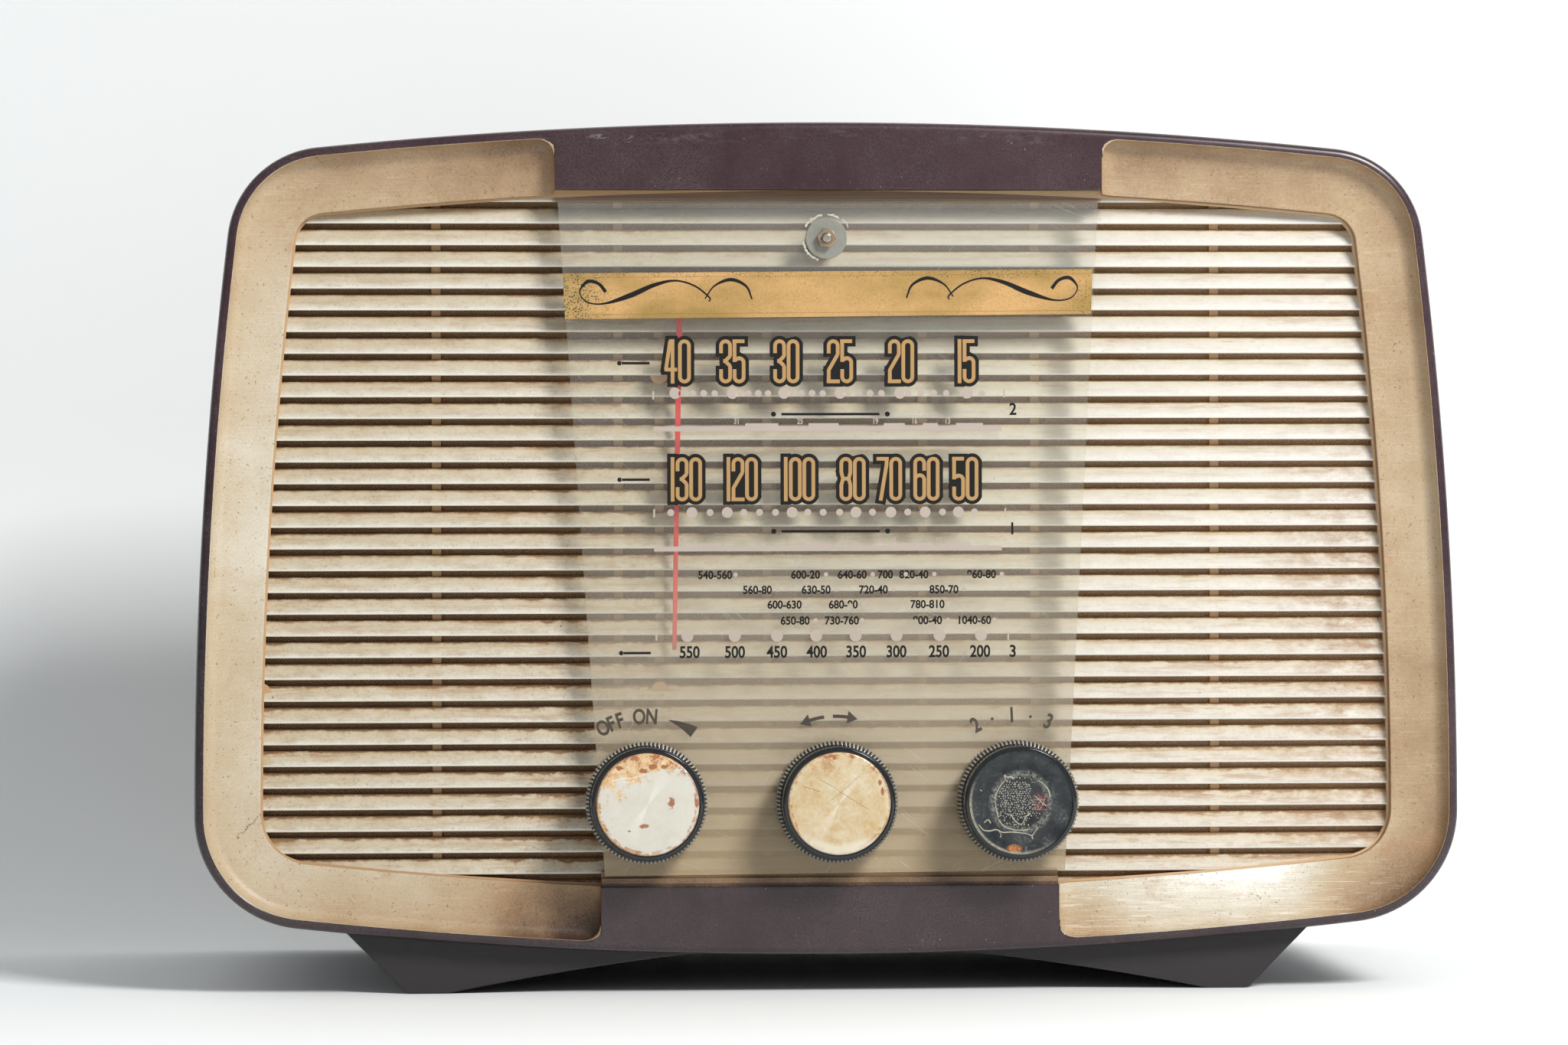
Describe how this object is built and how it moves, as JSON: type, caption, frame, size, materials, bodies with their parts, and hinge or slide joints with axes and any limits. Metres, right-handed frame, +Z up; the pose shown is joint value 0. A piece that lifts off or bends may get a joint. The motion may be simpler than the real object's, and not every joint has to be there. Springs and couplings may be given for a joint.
{
  "type": "tube radio",
  "caption": "Table valve radio: bowed dark moulded cabinet, cream louvred front, clear tapered dial plate with moving red pointer, knurled knobs, wedge feet.",
  "frame": {"origin": "under the middle of the whole set, on the surface that the feet stand on", "axes": "+Z up, the front with the dial and knobs faces -Y, +X is to the right seen from the front"},
  "size_m": [0.4198, 0.2176, 0.2885],
  "materials": {
    "cabinet": "polished dark maroon phenolic, cream sprayed paint in the two troughs",
    "louvre": "aged cream paint, dirt in the slots",
    "foot": "dull dark brown moulding",
    "clear_acrylic": "clear acrylic sheet, hazed and scratched",
    "washer": "translucent plastic with old glue",
    "brass": "tarnished",
    "steel": "dull plated steel",
    "zinc": "passivated sheet steel",
    "pointer_red": "satin red",
    "drum": "pressed fibre",
    "cord": "waxed thread",
    "knob": "black moulding, satin",
    "disc": "spun cream disc, stained and rusty",
    "brown_board": "laminated paper board",
    "aluminium": "plain",
    "ceramic": "ceramic",
    "dark_metal": "pressed steel, dark paint",
    "iron": "varnished laminations",
    "paper": "felted paper cone",
    "board": "hardboard",
    "cloth": "dark brown woven cloth",
    "winding": "waxed paper over copper wire",
    "valve_glass": "thin clear glass",
    "electrode": "blackened nickel",
    "lamp": "small clear bulb in a screw cap",
    "rubber": "black rubber",
    "cover": "pressed fibre board"
  },
  "bodies": {
    "set": {"cabinet": "cabinet", "louvre_panel": "louvre", "panel_screws": "steel", "left_foot": "foot", "right_foot": "foot", "dial_plate": "clear_acrylic", "dial_stud": "steel", "dial_washer": "washer", "dial_nut": "brass", "carriage_rail": "steel", "drive_bracket": "zinc", "pointer_cord": "cord", "drive_cord": "cord", "spindle_bush": "brass", "volume_control": "zinc", "band_switch": "brown_board", "control_nuts": "steel", "gang_frame": "zinc", "gang_stators": "aluminium", "gang_insulators": "ceramic", "speaker_frame": "dark_metal", "speaker_magnet": "iron", "speaker_cone": "paper", "baffle_board": "board", "speaker_cloth": "cloth", "chassis": "zinc", "chassis_bolts": "steel", "mains_transformer": "iron", "output_transformer": "iron", "transformer_windings": "winding", "smoothing_capacitor": "aluminium", "if_cans": "aluminium", "frequency_changer": "valve_glass", "if_amplifier": "valve_glass", "detector_valve": "valve_glass", "output_valve": "valve_glass", "rectifier_valve": "valve_glass", "valve_electrodes": "electrode", "valve_holders": "brown_board", "tag_board": "brown_board", "dial_lamps": "lamp", "socket_strip": "brown_board", "mains_grommet": "rubber", "back_cover": "cover", "back_screws": "steel"},
    "volume": {"volume_knob": "knob", "volume_disc": "disc", "volume_spindle": "steel"},
    "tuning": {"tuning_knob": "knob", "tuning_disc": "disc", "tuning_spindle": "steel"},
    "band": {"band_knob": "knob", "band_spindle": "steel"},
    "gang": {"gang_rotor": "aluminium", "cord_drum": "drum", "cord_spring": "steel"},
    "pointer": {"pointer": "pointer_red", "pointer_carriage": "zinc"},
    "left_pulley": {"left_pulley": "brass"},
    "right_pulley": {"right_pulley": "brass"}
  },
  "joints": [
    {"name": "volume_turn", "type": "hinge", "parent": "set", "child": "volume", "pos_m": [-0.0612, 0, 0.0636], "axis": [0, 1, 0], "range_deg": [0, 300]},
    {"name": "wave_change_turn", "type": "hinge", "parent": "set", "child": "band", "pos_m": [0.0616, 0, 0.0636], "axis": [0, 1, 0], "range_deg": [-30, 30]},
    {"name": "gang_turn", "type": "hinge", "parent": "set", "child": "gang", "pos_m": [0.022, 0, 0.117], "axis": [0, 1, 0], "range_deg": [-14.15, 165.85]},
    {"name": "tuning_turn", "type": "hinge", "parent": "set", "child": "tuning", "pos_m": [0.0017, 0, 0.0636], "axis": [0, 1, 0], "range_deg": [-142.97, 1669.82]},
    {"name": "pointer_slide", "type": "slide", "parent": "set", "child": "pointer", "axis": [1, 0, 0], "range_m": [-0.00921, 0.10781]},
    {"name": "left_pulley_turn", "type": "hinge", "parent": "set", "child": "left_pulley", "pos_m": [-0.0724, 0, 0.23265], "axis": [0, 1, 0], "range_deg": [-89.09, 1038.57]},
    {"name": "right_pulley_turn", "type": "hinge", "parent": "set", "child": "right_pulley", "pos_m": [0.0724, 0, 0.23265], "axis": [0, 1, 0], "range_deg": [-89.09, 1038.57]}
  ],
  "couplings": [
    {"joint": "tuning_turn", "follows": "gang_turn", "ratio": 10.065},
    {"joint": "pointer_slide", "follows": "gang_turn", "m_per_rad": 0.037242},
    {"joint": "left_pulley_turn", "follows": "gang_turn", "ratio": 6.2592},
    {"joint": "right_pulley_turn", "follows": "gang_turn", "ratio": 6.2592}
  ]
}
